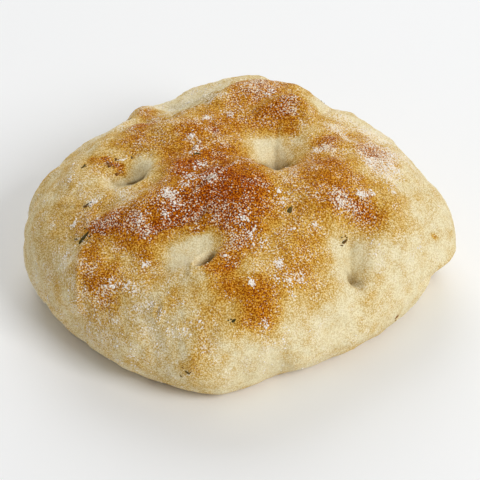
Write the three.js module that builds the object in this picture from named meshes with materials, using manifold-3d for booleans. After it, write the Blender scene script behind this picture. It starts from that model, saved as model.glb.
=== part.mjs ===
// Garlic rosemary focaccia roll: one baked piece with a flat underside and a domed top that was
// pressed in with the fingers, with chopped rosemary stuck in its crust.
// Millimetres, +Z up. The origin is the middle of the underside, and the front corner is at -Y.

import * as THREE from "three";
import { mergeVertices } from "three/addons/utils/BufferGeometryUtils.js";
import Module from "manifold-3d";

// The plain shape: a low dome whose side curls in below its widest level to a flat underside.
const MEAN_RADIUS = 50.8;
const DOME_HEIGHT = 39;
const WIDEST_LEVEL = 12;
const UNDERSIDE_INSET = 8;
// Exponents of the dome's profile: 2 gives an ellipse, and more gives a fuller shoulder or crown.
const SHOULDER_FULLNESS = 2.6;
const CROWN_FULLNESS = 2.1;

// Swells push the crust out square to an ellipsoid of these half axes about the widest level.
const SWELL_HALF_WIDTH = 52;
const SWELL_HALF_HEIGHT = 28;

// The uneven outline. Each lobe adds size * cos(count * (angle - towards)), with degrees in the table.
const OUTLINE_LOBES = [
  { count: 2, size: 2.6, towards: 33 },
  { count: 3, size: 1.1, towards: -26 },
  { count: 4, size: 2.5, towards: -4 },
  { count: 7, size: 0.7, towards: -3.5 },
  { count: 8, size: 0.5, towards: -2.5 },
];

// Relief is a set of soft patches, each with its middle at x, y, its half lengths along and across,
// and the turn of its long side in degrees. A larger edge exponent makes a flatter patch with a
// steeper edge, and level is the height of a patch on the side. The rest lie on the dome.
// Finger pokes: a wide basin and a narrower core for each, from the left round to the far side.
const POKES = [
  { x: -28, y: -0.5, along: 9.5, across: 7.5, turn: 5, depth: 2.4 },
  { x: -27.2, y: -4.6, along: 5.2, across: 4.4, turn: 20, depth: 3.2, edge: 5 },
  { x: -12, y: -29.3, along: 9.5, across: 6.5, turn: 0, depth: 3.2 },
  { x: -7.6, y: -33.6, along: 2.4, across: 1.2, turn: 48, depth: 4.6 },
  { x: 28.5, y: -26.5, along: 9, across: 7.5, turn: 90, depth: 3 },
  { x: 29, y: -28.4, along: 4, across: 3, turn: 90, depth: 2.4, edge: 1.8 },
  { x: 9.5, y: 5, along: 9, across: 8, turn: 0, depth: 4 },
  { x: 10, y: 1, along: 5, across: 4.8, turn: 0, depth: 4.5 },
  { x: 10.4, y: 0.5, along: 5.5, across: 2, turn: 90, depth: 4, edge: 4 },
  { x: 23, y: 38, along: 9, across: 8, turn: 0, depth: 5 },
  { x: -12, y: 33, along: 14, across: 7, turn: 15, depth: 4.5 },
  { x: -5.5, y: 32.5, along: 9, across: 2.5, turn: 25, depth: 2.5, edge: 1.5 },
];

// Swells of the browned top: the long slanting crest with its fold, then the ridges behind it.
const CRESTS = [
  { x: -29.5, y: -21, along: 13, across: 5.5, turn: 15, rise: 2.2 },
  { x: -14.5, y: -16.5, along: 14, across: 7, turn: 25, rise: 2.4 },
  { x: -0.5, y: -13.5, along: 12, across: 9, turn: 30, rise: 2.4 },
  { x: -2.5, y: -8.5, along: 11, across: 2.6, turn: 42, rise: 1.2, edge: 1.4 },
  { x: -14.5, y: -25.5, along: 10, across: 1.6, turn: 22, rise: -0.8, edge: 1.3 },
  { x: 6.5, y: 28.5, along: 13, across: 6, turn: 0, rise: 3.2 },
  { x: 14.5, y: 20, along: 8, across: 4, turn: 15, rise: 2.8 },
  { x: -25, y: 31, along: 7, across: 5, turn: 10, rise: 2.6 },
];

// Swells and small dents of the shoulders and the side, from the left round the front to the right
// and on round the back.
const SHOULDERS = [
  { x: -53.5, y: 1.5, level: 17.5, along: 2.4, across: 2.4, turn: 0, rise: -1.4, edge: 1.6 },
  { x: -47, y: -22.5, level: 6, along: 6, across: 6, turn: 0, rise: -1.35 },
  { x: -35, y: -31, along: 7, across: 8, turn: 60, rise: 2 },
  { x: -35, y: -38, level: 5, along: 8, across: 8, turn: 0, rise: 0.85 },
  { x: -3, y: -49, level: 2, along: 8, across: 8, turn: 0, rise: 0.8 },
  { x: 11, y: -45, level: 3, along: 5.2, across: 5.2, turn: 0, rise: -1.4 },
  { x: 21, y: -38.5, level: 2, along: 4, across: 4, turn: 0, rise: 0.4 },
  { x: 5.5, y: -43.5, along: 10, across: 8, turn: 0, rise: 2.4 },
  { x: 40, y: -30, level: 5, along: 9, across: 9, turn: 0, rise: 1.7 },
  { x: 33, y: -31.5, level: 3, along: 4, across: 4, turn: 0, rise: -0.6 },
  { x: 23.5, y: -15.5, along: 12, across: 8, turn: -20, rise: 2.4 },
  { x: 39, y: -14.5, along: 10, across: 7, turn: -30, rise: 2.2 },
  { x: 31.5, y: -2.5, along: 12, across: 8, turn: -40, rise: 1 },
  { x: 51, y: -13, level: 21, along: 8, across: 8, turn: 0, rise: 1 },
  { x: 53.5, y: -12.5, level: 16.5, along: 6, across: 6, turn: 0, rise: 2 },
  { x: 52.5, y: -11, level: 5.5, along: 5, across: 5, turn: 0, rise: -4.8, edge: 1.6 },
  { x: 54, y: -9, level: 15, along: 5, across: 5, turn: 0, rise: 0.4 },
  { x: 47, y: 12, level: 20, along: 5.5, across: 5.5, turn: 0, rise: -0.9 },
  { x: 36, y: 27, level: 26, along: 3, across: 3, turn: 0, rise: -0.45 },
  { x: 31, y: 29, level: 29, along: 3, across: 3, turn: 0, rise: 0.3 },
  { x: 24.7, y: 29.3, level: 32, along: 2.8, across: 2.8, turn: 0, rise: -1 },
  { x: 16.5, y: 30, level: 33.5, along: 3.5, across: 3.5, turn: 0, rise: 0.7 },
  { x: -5, y: 45.5, level: 27.5, along: 9, across: 6, turn: 0, rise: -0.4 },
  { x: -28.8, y: 29.5, level: 26, along: 3.6, across: 3.6, turn: 0, rise: -1.2 },
  { x: -33.5, y: 21, along: 7, across: 5, turn: 0, rise: -0.6 },
];

// A patch also fades above and below its level, over this many of its half length or at least so far.
const PATCH_HEIGHT_SHARE = 1.2;
const PATCH_HEIGHT_LEAST = 8;

// Low waves all over the crust. Each is from WAVE_SHORTEST to that plus WAVE_SPREAD times as long as
// WAVE_LENGTH, and WAVE_PHASE sets how far each is ahead of the last.
const WAVE_LENGTH = 19;
const WAVE_HEIGHT = 0.45;
const WAVE_COUNT = 16;
const WAVE_SHORTEST = 0.75;
const WAVE_SPREAD = 0.6;
const WAVE_PHASE = 1.7;
const GOLDEN_ANGLE = 2.39996;
const GOLDEN_SHARE = 0.618;

// The levels between which relief comes in above the flat underside.
const RELIEF_START = 2;
const RELIEF_FULL = 10;

// The crust's grid: its number of cells each way, and the share of its reach that the dome takes.
const GRID_STEPS = 70;
const DOME_SHARE = 0.8;

// Rosemary bits. Reach runs from 0 at the top to 1 at the underside's edge, and turn is the
// direction of the bit's length as seen from above, in degrees.
const ROSEMARY = [
  { angle: 212, reach: 0.515, turn: 27, length: 5, width: 1.3 },
  { angle: 200, reach: 0.438, turn: 20, length: 3, width: 1.2 },
  { angle: 178, reach: 0.424, turn: 60, length: 1.8, width: 1 },
  { angle: 178, reach: 0.35, turn: 120, length: 2.8, width: 1.6 },
  { angle: 182, reach: 0.319, turn: 20, length: 2.4, width: 1.4 },
  { angle: 174, reach: 0.335, turn: 80, length: 2, width: 1.2 },
  { angle: 320, reach: 0.451, turn: 70, length: 2.8, width: 1.6 },
  { angle: 303.5, reach: 0.299, turn: 70, length: 2.4, width: 1.4 },
  { angle: 269.5, reach: 0.611, turn: 45, length: 1.8, width: 1.2 },
  { angle: 257.4, reach: 0.792, turn: 80, length: 2.6, width: 1 },
  { angle: 326.4, reach: 0.847, turn: 60, length: 2, width: 1 },
];
// More bits by rule on the far half, where they are as thinly spread.
const FAR_BITS = 7;
const FAR_FIRST_ANGLE = 25;
const FAR_ANGLE_SPAN = 130;
const FAR_FIRST_REACH = 0.38;
const FAR_REACH_SPAN = 0.42;
const FAR_TURN_STEP = 75;
const FAR_SHORTEST = 2.1;
const FAR_LENGTH_SPREAD = 1.5;
const FAR_LENGTH_STEP = 0.414;
const FAR_BIT_WIDTH = 1.2;
const BIT_THICKNESS = 1.2;
const BIT_SIDES = 6;
const BIT_RINGS = 4;
// Step of reach and of angle over which the crust's slope is measured under a bit.
const FRAME_STEP = 0.004;

function outlineRadius(angle) {
  let radius = MEAN_RADIUS;
  for (const { count, size, towards } of OUTLINE_LOBES) {
    radius += size * Math.cos(count * (angle - THREE.MathUtils.degToRad(towards)));
  }
  return radius;
}

// Height of the plain dome over a point of the plan.
function domeLevel(x, y) {
  const share = Math.min(Math.hypot(x, y) / outlineRadius(Math.atan2(y, x)), 1);
  const slope = Math.asin(share ** (SHOULDER_FULLNESS / 2));
  return WIDEST_LEVEL + (DOME_HEIGHT - WIDEST_LEVEL) * Math.cos(slope) ** (2 / CROWN_FULLNESS);
}

// The plain surface before any relief, as a function of reach and angle. The slope grows as a power
// of the reach that keeps the grid's rings evenly spaced near the top.
function plainPoint(reach, angle) {
  const radius = outlineRadius(angle);
  let out;
  let level;
  if (reach <= DOME_SHARE) {
    const slope = (reach / DOME_SHARE) ** (SHOULDER_FULLNESS / 2) * (Math.PI / 2);
    out = radius * Math.sin(slope) ** (2 / SHOULDER_FULLNESS);
    const fall = Math.max(Math.cos(slope), 0) ** (2 / CROWN_FULLNESS);
    level = WIDEST_LEVEL + (DOME_HEIGHT - WIDEST_LEVEL) * fall;
  } else {
    const curl = ((reach - DOME_SHARE) / (1 - DOME_SHARE)) * (Math.PI / 2);
    out = radius - UNDERSIDE_INSET * (1 - Math.cos(curl));
    level = WIDEST_LEVEL * (1 - Math.sin(curl));
  }
  return new THREE.Vector3(out * Math.cos(angle), out * Math.sin(angle), level);
}

// Strength of a relief patch at a point, from 1 in its middle to 0 well outside it.
function patchStrength(point, patch) {
  const level = patch.level ?? domeLevel(patch.x, patch.y);
  const turn = THREE.MathUtils.degToRad(patch.turn);
  const dx = point.x - patch.x;
  const dy = point.y - patch.y;
  const along = (dx * Math.cos(turn) + dy * Math.sin(turn)) / patch.along;
  const across = (dy * Math.cos(turn) - dx * Math.sin(turn)) / patch.across;
  const height = PATCH_HEIGHT_SHARE * Math.max(patch.along, patch.across);
  const up = (point.z - level) / Math.max(PATCH_HEIGHT_LEAST, height);
  const squared = along ** 2 + across ** 2 + up ** 2;
  return Math.exp(-(squared ** ((patch.edge ?? 2) / 2)));
}

// A sum of sine waves in directions spread evenly over a sphere, with uneven lengths and phases.
function waveHeight(point) {
  let sum = 0;
  for (let i = 0; i < WAVE_COUNT; i++) {
    const up = 1 - (2 * i + 1) / WAVE_COUNT;
    const level = Math.sqrt(1 - up * up);
    const heading = GOLDEN_ANGLE * i;
    const length = WAVE_LENGTH * (WAVE_SHORTEST + WAVE_SPREAD * ((GOLDEN_SHARE * i) % 1));
    const flat = point.x * Math.cos(heading) + point.y * Math.sin(heading);
    sum += Math.sin((2 * Math.PI * (flat * level + point.z * up)) / length + WAVE_PHASE * i * i);
  }
  return (WAVE_HEIGHT * sum) / Math.sqrt(WAVE_COUNT / 2);
}

// The crust's surface. Swells and waves push out from the middle and pokes push down. Near the
// underside the relief only moves sideways, so that the underside stays flat.
function crustPoint(reach, angle) {
  const point = plainPoint(reach, angle);
  const outward = new THREE.Vector3(point.x, point.y, 0).divideScalar(SWELL_HALF_WIDTH ** 2);
  outward.z = (point.z - WIDEST_LEVEL) / SWELL_HALF_HEIGHT ** 2;
  outward.normalize();
  let lift = waveHeight(point);
  for (const patch of [...CRESTS, ...SHOULDERS]) {
    lift += patch.rise * patchStrength(point, patch);
  }
  let press = 0;
  for (const poke of POKES) {
    press += poke.depth * patchStrength(point, poke);
  }
  const fade = THREE.MathUtils.clamp((point.z - RELIEF_START) / (RELIEF_FULL - RELIEF_START), 0, 1);
  point.x += outward.x * lift;
  point.y += outward.y * lift;
  point.z += (outward.z * lift - press) * fade;
  return point;
}

// Reach and angle of a cell corner, from a square grid whose rings of cells become round rings.
function gridToDisc(a, b) {
  const reach = Math.max(Math.abs(a), Math.abs(b));
  if (reach === 0) {
    return { reach: 0, angle: 0 };
  }
  const sideways = Math.abs(a) > Math.abs(b);
  const within = sideways ? ((Math.PI / 4) * b) / a : Math.PI / 2 - ((Math.PI / 4) * a) / b;
  const behind = sideways ? a < 0 : b < 0;
  return { reach, angle: within + (behind ? Math.PI : 0) };
}

// The whole crust as one closed mesh: the grid, then a fan that closes the flat underside.
function rollGeometry() {
  const positions = [];
  const row = GRID_STEPS + 1;
  for (let i = 0; i < row; i++) {
    for (let j = 0; j < row; j++) {
      const { reach, angle } = gridToDisc((2 * i) / GRID_STEPS - 1, (2 * j) / GRID_STEPS - 1);
      positions.push(...crustPoint(reach, angle).toArray());
    }
  }
  const triangles = [];
  for (let i = 0; i < GRID_STEPS; i++) {
    for (let j = 0; j < GRID_STEPS; j++) {
      const near = i * row + j;
      const far = near + row;
      // Each cell is split along the line that runs out from the middle.
      if ((2 * i + 1 - GRID_STEPS) * (2 * j + 1 - GRID_STEPS) > 0) {
        triangles.push(near, far, far + 1, near, far + 1, near + 1);
      } else {
        triangles.push(near, far, near + 1, far, far + 1, near + 1);
      }
    }
  }
  const rim = [];
  for (let k = 0; k < GRID_STEPS; k++) {
    rim.push(k * row);
  }
  for (let k = 0; k < GRID_STEPS; k++) {
    rim.push(GRID_STEPS * row + k);
  }
  for (let k = GRID_STEPS; k > 0; k--) {
    rim.push(k * row + GRID_STEPS);
  }
  for (let k = GRID_STEPS; k > 0; k--) {
    rim.push(k);
  }
  const middle = positions.length / 3;
  positions.push(0, 0, 0);
  rim.forEach((corner, k) => {
    triangles.push(middle, rim[(k + 1) % rim.length], corner);
  });
  return indexedGeometry(positions, triangles);
}

function indexedGeometry(positions, triangles) {
  const geometry = new THREE.BufferGeometry();
  geometry.setAttribute("position", new THREE.Float32BufferAttribute(positions, 3));
  geometry.setIndex(triangles);
  return geometry;
}

// One chopped bit of rosemary: a spindle lying on the crust, half sunk in it.
function rosemaryGeometry({ angle, reach, turn, length, width }) {
  const round = THREE.MathUtils.degToRad(angle);
  const place = crustPoint(reach, round);
  const outwards = crustPoint(reach + FRAME_STEP, round).sub(crustPoint(reach - FRAME_STEP, round));
  const sideways = crustPoint(reach, round + FRAME_STEP).sub(crustPoint(reach, round - FRAME_STEP));
  const up = outwards.cross(sideways).normalize();
  const heading = THREE.MathUtils.degToRad(turn);
  const along = new THREE.Vector3(Math.cos(heading), Math.sin(heading), 0);
  along.projectOnPlane(up).normalize();
  const across = along.clone().cross(up);
  const frame = new THREE.Matrix4().makeBasis(across, along, up).setPosition(place);
  // A coarse ball stretched along Y, which is where its poles are.
  const ball = new THREE.SphereGeometry(1, BIT_SIDES, BIT_RINGS);
  ball.deleteAttribute("normal");
  ball.deleteAttribute("uv");
  ball.scale(width / 2, length / 2, BIT_THICKNESS / 2);
  return mergeVertices(ball).applyMatrix4(frame);
}

// Every bit: those placed by hand, then the far half's, spread by the golden ratio.
function allRosemary() {
  const bits = [...ROSEMARY];
  for (let i = 0; i < FAR_BITS; i++) {
    bits.push({
      angle: FAR_FIRST_ANGLE + FAR_ANGLE_SPAN * ((GOLDEN_SHARE * (i + 1)) % 1),
      reach: FAR_FIRST_REACH + FAR_REACH_SPAN * ((i + 0.5) / FAR_BITS),
      turn: FAR_TURN_STEP * i,
      length: FAR_SHORTEST + FAR_LENGTH_SPREAD * ((FAR_LENGTH_STEP * i) % 1),
      width: FAR_BIT_WIDTH,
    });
  }
  return bits;
}

const wasm = await Module();
wasm.setup();

function toSolid(geometry) {
  const vertProperties = new Float32Array(geometry.getAttribute("position").array);
  const triVerts = new Uint32Array(geometry.getIndex().array);
  return new wasm.Manifold(new wasm.Mesh({ numProp: 3, vertProperties, triVerts }));
}

// The crust with every bit fused to it, set with the middle of its plan over the origin.
function fusedGeometry() {
  let solid = toSolid(rollGeometry());
  for (const bit of allRosemary()) {
    solid = solid.add(toSolid(rosemaryGeometry(bit)));
  }
  const mesh = solid.getMesh();
  const geometry = indexedGeometry(Array.from(mesh.vertProperties), Array.from(mesh.triVerts));
  geometry.computeBoundingBox();
  const middle = geometry.boundingBox.getCenter(new THREE.Vector3());
  return geometry.translate(-middle.x, -middle.y, 0);
}

const crust = new THREE.MeshStandardMaterial({ color: "#c9a56b", roughness: 0.85, metalness: 0 });
const roll = new THREE.Mesh(fusedGeometry(), crust);
roll.name = "focaccia_roll";

const model = new THREE.Group();
model.add(roll);

export default model;
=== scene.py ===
"""Garlic rosemary focaccia roll, dressed for its portrait.

One baked piece: a blunt cornered roll with a flat underside and a low dome, pressed in with the
fingers, browned on its high places, dusted with flour and stuck with chopped rosemary.
Metres, +Z up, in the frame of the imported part. Shapes are worked out in millimetres and scaled.
"""

from itertools import combinations

import bpy
import numpy as np
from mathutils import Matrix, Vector


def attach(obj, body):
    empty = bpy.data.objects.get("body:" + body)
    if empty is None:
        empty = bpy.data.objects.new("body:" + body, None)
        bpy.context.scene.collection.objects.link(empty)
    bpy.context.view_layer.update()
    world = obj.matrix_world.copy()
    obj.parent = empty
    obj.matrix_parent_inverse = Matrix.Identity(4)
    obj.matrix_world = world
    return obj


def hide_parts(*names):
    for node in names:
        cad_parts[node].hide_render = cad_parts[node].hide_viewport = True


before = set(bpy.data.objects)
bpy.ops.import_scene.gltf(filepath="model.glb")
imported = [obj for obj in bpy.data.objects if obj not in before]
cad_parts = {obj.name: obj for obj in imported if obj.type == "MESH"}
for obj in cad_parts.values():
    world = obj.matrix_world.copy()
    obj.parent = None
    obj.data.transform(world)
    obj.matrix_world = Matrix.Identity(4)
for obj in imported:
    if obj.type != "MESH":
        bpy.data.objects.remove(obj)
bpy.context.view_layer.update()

# Camera. The picture looks down on the roll's front corner from 40 degrees, through a long lens,
# so that its sides hardly converge.
scene = bpy.context.scene
CAMERA_PLACE = Vector((-0.0011, -0.4756, 0.4165))
CAMERA_AIM = Vector((0.0002, -0.0046, 0.0133))
CAMERA_LENS = 181.4
CAMERA_SENSOR = 36
camera = bpy.data.objects.new("camera", bpy.data.cameras.new("camera"))
camera.data.lens = CAMERA_LENS
camera.data.sensor_width = CAMERA_SENSOR
camera.location = CAMERA_PLACE
camera.rotation_euler = (CAMERA_AIM - CAMERA_PLACE).to_track_quat("-Z", "Y").to_euler()
scene.collection.objects.link(camera)
scene.camera = camera
scene.view_settings.view_transform = "Standard"


# Floor and light. A plain white floor, a soft key from the front right, a broad one behind and a
# pale room round it all.
def new_material(name):
    """An empty node material with its shader, and the shader itself."""
    material = bpy.data.materials.new(name)
    material.use_nodes = True
    return material, material.node_tree.nodes["Principled BSDF"]


def softbox(name, place, aim, size, power, colour):
    """A square area light at one point that faces another."""
    light = bpy.data.objects.new(name, bpy.data.lights.new(name, "AREA"))
    light.data.size = size
    light.data.energy = power
    light.data.color = colour
    light.location = place
    light.rotation_euler = (Vector(aim) - Vector(place)).to_track_quat("-Z", "Y").to_euler()
    scene.collection.objects.link(light)


FLOOR_HALF = 3.0
FLOOR_DROP = 0.0003
FLOOR_COLOUR = (0.93, 0.945, 0.97, 1)
ROOM_COLOUR = (1.0, 0.985, 0.94, 1)
ROOM_LIGHT = 0.378
ROLL_MIDDLE = (0, 0, 0.02)
round_the_floor = ((-1, -1), (1, -1), (1, 1), (-1, 1))
floor_corners = [(x * FLOOR_HALF, y * FLOOR_HALF, -FLOOR_DROP) for x, y in round_the_floor]
floor_mesh = bpy.data.meshes.new("floor")
floor_mesh.from_pydata(floor_corners, [], [(0, 1, 2, 3)])
floor = bpy.data.objects.new("floor", floor_mesh)
floor_material, floor_shader = new_material("floor")
floor_shader.inputs["Base Color"].default_value = FLOOR_COLOUR
floor_shader.inputs["Roughness"].default_value = 0.9
floor_mesh.materials.append(floor_material)
scene.collection.objects.link(floor)

softbox("key", place=(0.71, -0.61, 0.76), aim=ROLL_MIDDLE, size=0.5, power=7.9, colour=(1.0, 0.995, 0.985))
softbox("fill", place=(-0.1, 0.9, 0.75), aim=ROLL_MIDDLE, size=0.9, power=6.5, colour=(1.0, 1.0, 1.0))
room = bpy.data.worlds.new("room")
room.use_nodes = True
room.node_tree.nodes["Background"].inputs["Color"].default_value = ROOM_COLOUR
room.node_tree.nodes["Background"].inputs["Strength"].default_value = ROOM_LIGHT
scene.world = room


# Crust. The roll itself is one piece of baked dough: a low dome whose side curls in to a flat
# underside. Pokes are pressed down into it, and its crests, shoulders and blisters swell out.
MM = 0.001
MEAN_RADIUS = 50.8
DOME_HEIGHT = 39
WIDEST_LEVEL = 12
UNDERSIDE_INSET = 8
SHOULDER_FULLNESS = 2.6
CROWN_FULLNESS = 2.1
# Share of the way from the top to the underside's edge that lies on the dome.
DOME_SHARE = 0.8
# Relief swells square to an ellipsoid of these half axes about the widest level.
SWELL_HALF_WIDTH = 52
SWELL_HALF_HEIGHT = 28
# A patch's half height is this share of its half length or half width, whichever is longer, but
# never less than the least.
HALF_HEIGHT_SHARE = 1.2
LEAST_HALF_HEIGHT = 8

# Lobes of the outline: how many round the roll, how far they stand out, and the way one points.
OUTLINE_LOBES = [(2, 2.6, 33), (3, 1.1, -26), (4, 2.5, -4), (7, 0.7, -3.5), (8, 0.5, -2.5)]

# Patches of relief or of colour, all written alike: x, y, half length, half width, turn of the
# long side in degrees, amount, edge exponent and, where it isn't on the dome, the patch's level.
POKES = [
    (-28, -0.5, 9.5, 7.5, 5, 2.4, 2),
    (-27.2, -4.6, 5.2, 4.4, 20, 3.2, 5),
    (-12, -29.3, 9.5, 6.5, 0, 3.2, 2),
    (-7.6, -33.6, 2.4, 1.2, 48, 4.6, 2),
    (28.5, -26.5, 9, 7.5, 90, 3, 2),
    (29, -28.4, 4, 3, 90, 2.4, 1.8),
    (9.5, 5, 9, 8, 0, 4, 2),
    (10, 1, 5, 4.8, 0, 4.5, 2),
    (10.4, 0.5, 5.5, 2, 90, 4, 4),
    (23, 38, 9, 8, 0, 5, 2),
    (-12, 33, 14, 7, 15, 4.5, 2),
    (-5.5, 32.5, 9, 2.5, 25, 2.5, 1.5),
]
CRESTS = [
    (-29.5, -21, 13, 5.5, 15, 2.2, 2),
    (-14.5, -16.5, 14, 7, 25, 2.4, 2),
    (-0.5, -13.5, 12, 9, 30, 2.4, 2),
    (-2.5, -8.5, 11, 2.6, 42, 1.2, 1.4),
    (-14.5, -25.5, 10, 1.6, 22, -0.8, 1.3),
    (6.5, 28.5, 13, 6, 0, 3.2, 2),
    (14.5, 20, 8, 4, 15, 2.8, 2),
    (-25, 31, 7, 5, 10, 2.6, 2),
]
SHOULDERS = [
    (-53.5, 1.5, 2.4, 2.4, 0, -1.4, 1.6, 17.5),
    (-47, -22.5, 6, 6, 0, -1.35, 2, 6),
    (-35, -31, 7, 8, 60, 2, 2),
    (-35, -38, 8, 8, 0, 0.85, 2, 5),
    (-3, -49, 8, 8, 0, 0.8, 2, 2),
    (11, -45, 5.2, 5.2, 0, -1.4, 2, 3),
    (21, -38.5, 4, 4, 0, 0.4, 2, 2),
    (5.5, -43.5, 10, 8, 0, 2.4, 2),
    (40, -30, 9, 9, 0, 1.7, 2, 5),
    (33, -31.5, 4, 4, 0, -0.6, 2, 3),
    (23.5, -15.5, 12, 8, -20, 2.4, 2),
    (39, -14.5, 10, 7, -30, 2.2, 2),
    (31.5, -2.5, 12, 8, -40, 1, 2),
    (51, -13, 8, 8, 0, 1, 2, 21),
    (53.5, -12.5, 6, 6, 0, 2, 2, 16.5),
    (52.5, -11, 5, 5, 0, -4.8, 1.6, 5.5),
    (54, -9, 5, 5, 0, 0.4, 2, 15),
    (47, 12, 5.5, 5.5, 0, -0.9, 2, 20),
    (36, 27, 3, 3, 0, -0.45, 2, 26),
    (31, 29, 3, 3, 0, 0.3, 2, 29),
    (-33.5, 21, 7, 5, 0, -0.6, 2),
    (-28.8, 29.5, 3.6, 3.6, 0, -1.2, 2, 26),
    (24.7, 29.3, 2.8, 2.8, 0, -1.0, 2, 32),
    (16.5, 30, 3.5, 3.5, 0, 0.7, 2, 33.5),
    (-5, 45.5, 9, 6, 0, -0.4, 2, 27.5),
]
# Small swells and dents that the coarse solid leaves out.
SMALL_SWELLS = [
    (-14.5, -5, 7, 4.5, 20, 1.0, 2),
    (13.5, 18.8, 5, 2.6, -15, 1.3, 1.5),
    (21, -8, 6, 9, 0, 0.5, 2),
    (24, 5, 5, 3.5, 10, 0.6, 2),
    (32, -17.5, 3, 2.5, 0, -0.9, 2),
    (-34.5, -33.5, 4, 8, 60, 0.6, 3),
    (-12.5, 12.5, 8, 4, -10, 0.8, 2),
    (-23.5, 28.5, 4, 4, 0, 0.8, 2),
    (11.5, 28.5, 3, 3, 0, -1.0, 2),
    (52.5, -11.5, 5, 5, 0, 1.2, 2, 14),
    (45, -20, 6, 6, 0, 0.9, 2, 5),
    (17, -42, 6, 6, 0, 1.1, 2, 3),
    (10, -47, 4, 4, 0, -0.7, 2, 8),
    (-25, -42, 6, 6, 0, 1.2, 2, 3),
    (-40, -34, 6, 6, 0, -0.5, 2, 10),
    (-53.5, -9, 5, 5, 0, 0.5, 2, 10),
    (43, 14, 6, 6, 0, 0.8, 2, 25),
    (-4.8, -29.5, 3.2, 3.2, 0, -1.4, 2),
    (-6.2, -33.8, 1.6, 1.1, 48, -1.2, 2),
    (-7.4, -35.8, 0.7, 0.7, 0, 0.8, 2),
    (-5.2, -34.4, 0.6, 0.6, 0, 0.7, 2),
    (-9.4, -35.2, 1.5, 1.2, 48, 1.6, 2),
    (-8.6, -36.4, 0.8, 0.8, 0, 0.9, 2),
    (-10.6, -38, 0.9, 0.9, 0, 0.7, 2),
    (-18.8, -43.9, 1.7, 1.7, 0, 0.8, 3),
    (-18.8, -43.9, 0.9, 0.9, 0, -1.4, 2),
]
# Folds and slits in the skin, each with its rise (below nothing, its depth), its half width and
# the points that it runs through, with a level where they aren't on the dome. The first three
# are a groove over the middle crest, a lip beside it and a slit at the crest's foot.
CREST_GROOVE = [(-10, -16.6), (-7, -14), (-4.8, -11.8), (-2.6, -8.8), (-0.2, -5.4)]
CREST_LIP = [(-9.4, -18), (-6.5, -15.6), (-4, -13.2), (-1.8, -10.2), (0.6, -7)]
CREST_FOOT = [(-22.7, -26), (-19.1, -25.2), (-16, -24.2), (-12.1, -23.2), (-9, -22.6), (-7.6, -21.5)]
FOLDS = [
    (-0.8, 0.6, CREST_GROOVE),
    (0.8, 0.8, CREST_LIP),
    (-1.2, 0.7, CREST_FOOT),
    (-2.4, 0.6, [(-8.6, -35.2), (-7, -33.8), (-5.6, -32)]),
    (-0.9, 0.6, [(10.6, 14), (10.5, 11), (10.4, 8.4), (10.4, 4)]),
    (-2.4, 1.1, [(6.6, -0.6), (8.4, -1.8), (10.4, -2.2), (12.4, -1.6), (14.4, -0.4)]),
    (-1.4, 0.9, [(28.2, -23), (28.6, -26.5), (29, -30.5)]),
    (-1.5, 1.0, [(28.8, -29.6), (29.4, -30.8), (30.6, -31.6)]),
    (-0.9, 0.8, [(-8.2, 19.8), (-6, 23.6), (-4, 25.8), (-1.7, 27.6)]),
    (-1.8, 1.6, [(-16, 23), (-12, 22.8), (-8.5, 23.5), (-5.5, 26.5), (-3, 29)]),
    (-1.8, 0.8, [(-31.7, -6), (-30, -8), (-27.6, -8.9), (-25, -8.6), (-22.6, -7.2)]),
    (-0.6, 0.5, [(43.6, -4.4), (45.6, -3.6), (47.8, -2.4), (50, -1.4)]),
    (-1.5, 1.6, [(51, -12.6, 10.5), (49, -17, 11.5), (46.5, -21, 12.5)]),
    (-1.3, 1.7, [(-29.5, 17), (-27, 20), (-24.5, 21.5), (-21, 19.5), (-16, 18)]),
    (-0.4, 0.5, [(-11.5, 17.3), (-9, 17.8), (-6.5, 15), (-5.5, 10.8)]),
    (-0.7, 0.9, [(-5.7, 9.6), (-7.3, 6.5), (-10.5, 4), (-12.5, 1)]),
    (-1.1, 1.5, [(24, 25), (23.5, 23.4), (21.5, 20.5), (19.5, 18)]),
    (0.8, 1.0, [(-36.6, -25.9), (-36.8, -30), (-37.4, -33, 21), (-38.2, -34.5, 17)]),
    (-0.6, 1.5, [(-33, -16.5), (-27.5, -14.5), (-23, -12), (-19, -9)]),
    (-0.35, 0.5, [(-46, -7, 27), (-43, -11), (-38, -13.5)]),
    (-0.3, 0.5, [(20.5, 3.6), (23.5, 1), (27, -1.5)]),
    (1.0, 1.5, [(6.9, 17.4), (10.3, 18), (13.8, 19), (16.8, 17.6), (19, 15.4)]),
    (-0.9, 1.6, [(6, 21.5), (10, 22), (13.5, 23), (17.5, 22.5)]),
    (-0.5, 0.5, [(-9.1, 10.5), (-7.6, 9.3), (-6.1, 8.1)]),
    (0.4, 0.4, [(-8.4, 4.6), (-6, 5.8), (-4.4, 6.1)]),
    (-0.5, 0.5, [(-10, 3), (-8, 4), (-6, 5)]),
]


def outline_radius(angle):
    """Mean radius plus each lobe's size times the cosine of its count times the angle from it."""
    lobes = [size * np.cos(count * (angle - np.radians(to))) for count, size, to in OUTLINE_LOBES]
    return MEAN_RADIUS + sum(lobes)


def dome_level(x, y):
    """Height of the plain dome over a point of the plan: a superellipse of the share of the radius."""
    share = np.minimum(np.hypot(x, y) / outline_radius(np.arctan2(y, x)), 1)
    slope = np.arcsin(share ** (SHOULDER_FULLNESS / 2))
    return WIDEST_LEVEL + (DOME_HEIGHT - WIDEST_LEVEL) * np.cos(slope) ** (2 / CROWN_FULLNESS)


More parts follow.
